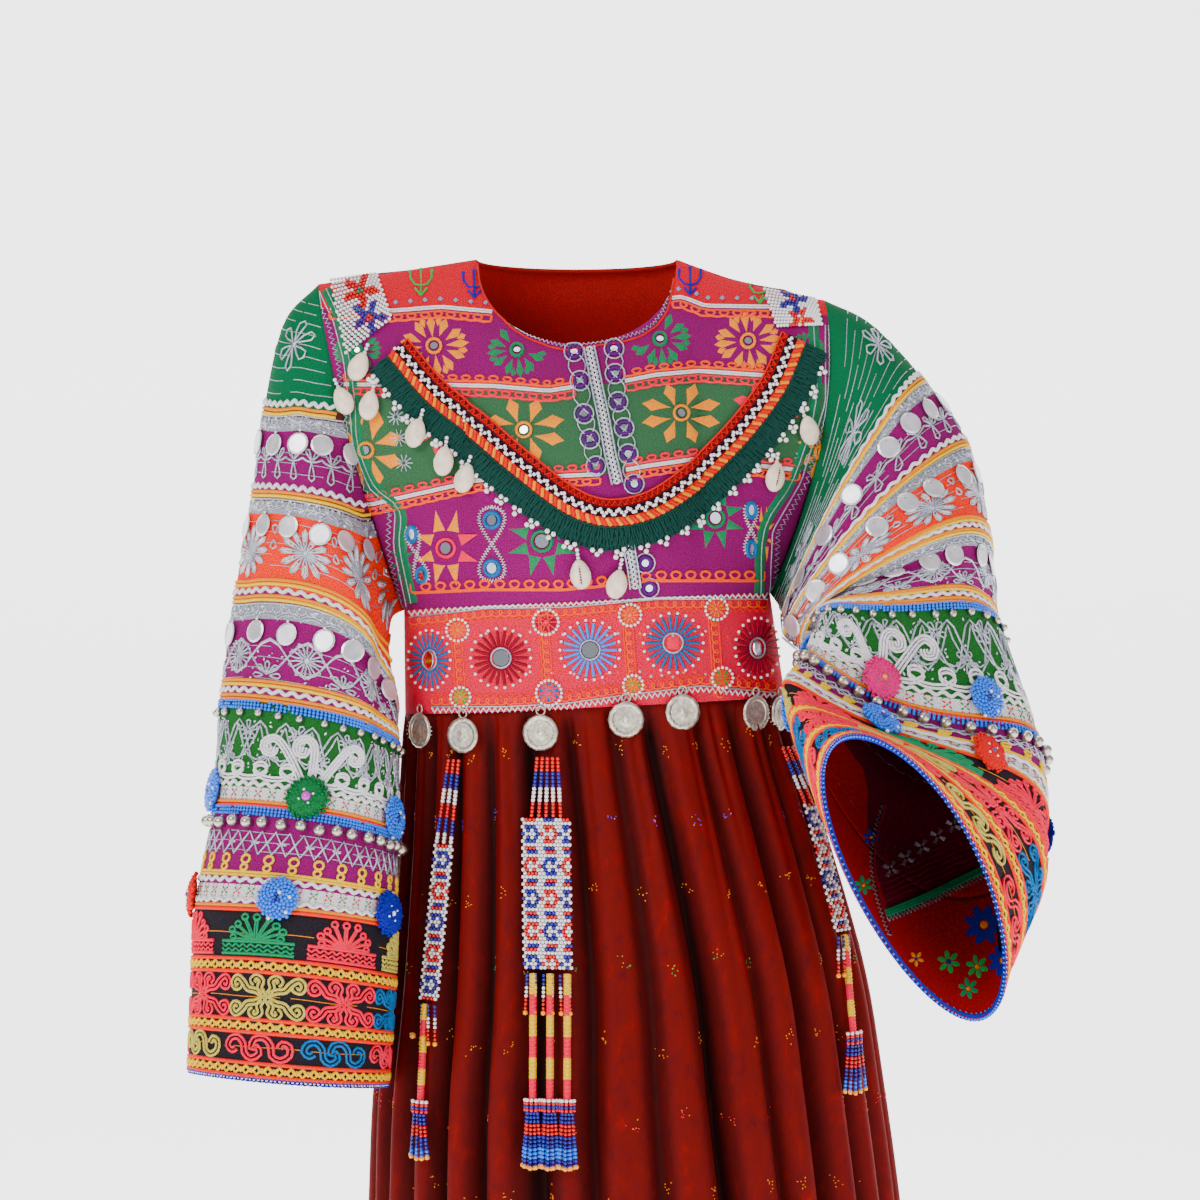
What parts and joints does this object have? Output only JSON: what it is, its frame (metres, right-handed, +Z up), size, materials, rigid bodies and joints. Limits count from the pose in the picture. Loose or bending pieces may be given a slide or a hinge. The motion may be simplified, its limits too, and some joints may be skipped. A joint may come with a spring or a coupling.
{
  "type": "velvet dress",
  "caption": "Worn velvet dress with an embroidered yoke, wide banded sleeves, a gathered skirt, bead tassels, shells and coins.",
  "frame": {"origin": "middle of the neck opening, level with the shoulders, where the wearer carries the dress", "axes": "+X towards the wearer's left, -Y to the front, +Z up"},
  "size_m": [0.7408, 0.5062, 1.2685],
  "materials": {
    "velvet": "crushed velvet",
    "embroidered_cloth": "embroidered cotton",
    "banded_cloth": "banded and metal-thread embroidered cloth",
    "couched_cloth": "black cloth with couched cord",
    "lining": "printed cotton",
    "silver_braid": "metal thread",
    "thread": "embroidery thread",
    "wool": "wool yarn",
    "yarn": "cut yarn and beads",
    "beads": "glass seed beads",
    "shell": "glossy shell",
    "coin_metal": "worn metal",
    "mirror": "small mirrors and metal discs"
  },
  "bodies": {
    "root": {"bodice_front": "embroidered_cloth", "bodice_back": "velvet", "waistband_front": "embroidered_cloth", "waistband_back": "velvet", "skirt_front": "velvet", "skirt_back": "velvet", "sleeve_right": "banded_cloth", "sleeve_left": "banded_cloth", "cuff_right": "couched_cloth", "cuff_left": "couched_cloth", "yoke_trim": "wool", "placket_braid_upper": "silver_braid", "placket_braid_lower": "silver_braid", "shoulder_patch_right": "beads", "shoulder_patch_left": "beads", "yoke_fringe": "wool", "cowrie_01": "shell", "cowrie_02": "shell", "cowrie_03": "shell", "cowrie_04": "shell", "cowrie_05": "shell", "cowrie_06": "shell", "cowrie_07": "shell", "cowrie_08": "shell", "cowrie_09": "shell", "cowrie_10": "shell", "coin_01": "coin_metal", "coin_02": "coin_metal", "coin_03": "coin_metal", "coin_04": "coin_metal", "coin_05": "coin_metal", "coin_06": "coin_metal", "coin_07": "coin_metal", "tassel_right": "beads", "tassel_centre": "beads", "tassel_left": "beads", "pompom_right_01": "yarn", "pompom_right_02": "yarn", "pompom_right_03": "yarn", "pompom_right_04": "yarn", "pompom_right_05": "yarn", "pompom_right_06": "yarn", "pompom_right_07": "yarn", "pompom_right_08": "yarn", "pompom_right_09": "yarn", "pompom_right_10": "yarn", "pompom_left_01": "yarn", "pompom_left_02": "yarn", "pompom_left_03": "yarn", "pompom_left_04": "yarn", "pompom_left_05": "yarn", "pompom_left_06": "yarn", "pompom_left_07": "yarn", "pompom_left_08": "yarn", "pompom_left_09": "yarn", "pompom_left_10": "yarn"}
  },
  "joints": []
}
